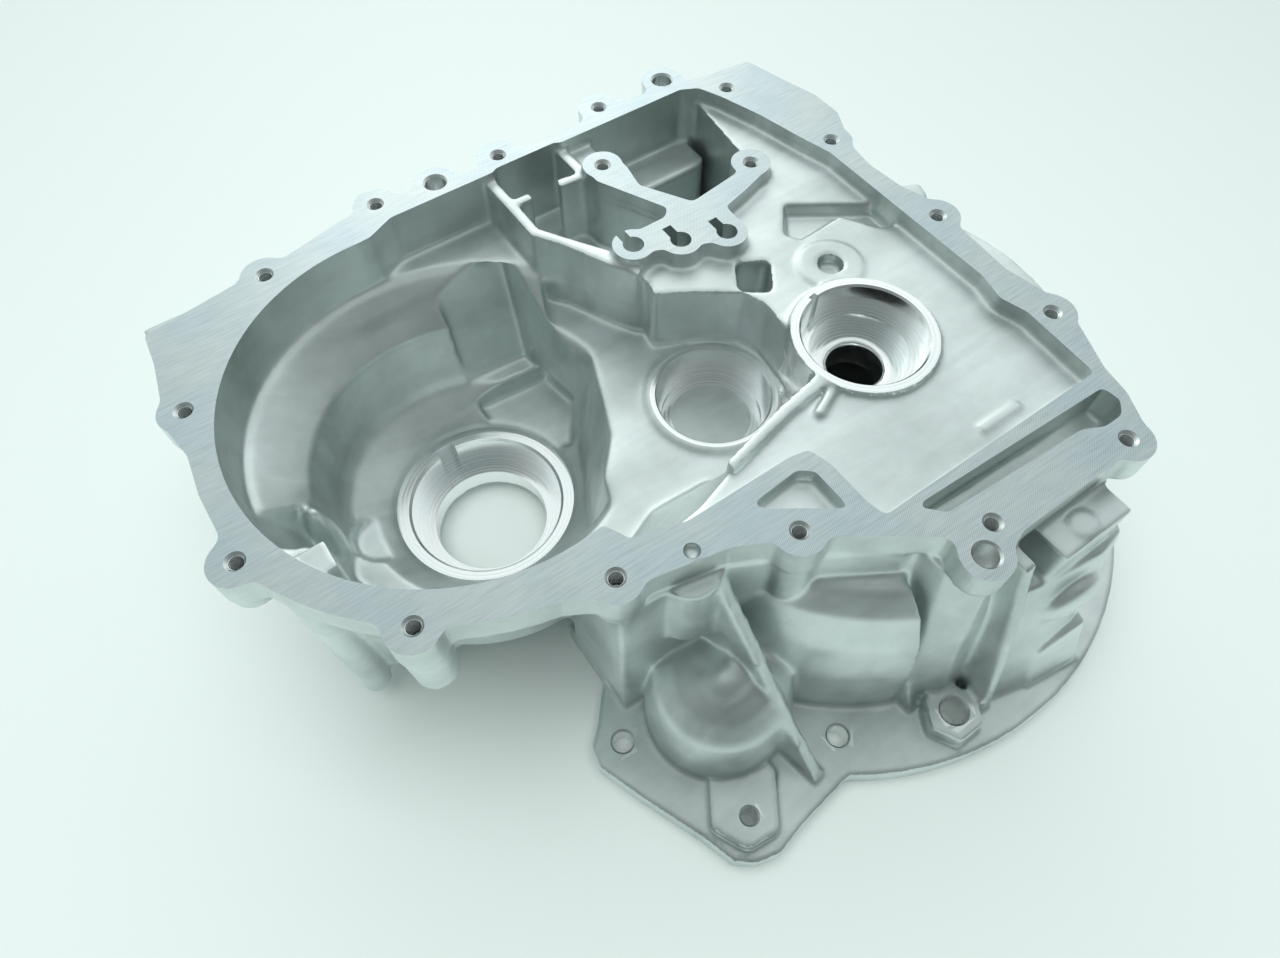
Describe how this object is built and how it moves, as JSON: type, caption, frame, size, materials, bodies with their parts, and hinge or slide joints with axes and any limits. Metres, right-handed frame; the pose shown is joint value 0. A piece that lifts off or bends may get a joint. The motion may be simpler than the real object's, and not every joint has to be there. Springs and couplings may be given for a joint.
{
  "type": "gearbox housing",
  "caption": "Clutch-side housing of a transverse gearbox: a bare aluminium casting with bearing seats, a round differential chamber and a clutch bell.",
  "frame": {"origin": "where the axis of the input-shaft bearing meets the engine face", "axes": "+Z along the shafts, from the engine face to the joint face; +X away from the differential, along the straight side of the joint face; +Y across it, to the long straight side"},
  "size_m": [0.485, 0.402, 0.155],
  "materials": {
    "cast_aluminium": "as-cast aluminium with a fine satin skin; joint face, seats and pads bright from milling and turning"
  },
  "bodies": {
    "root": {"housing": "cast_aluminium"}
  },
  "joints": []
}
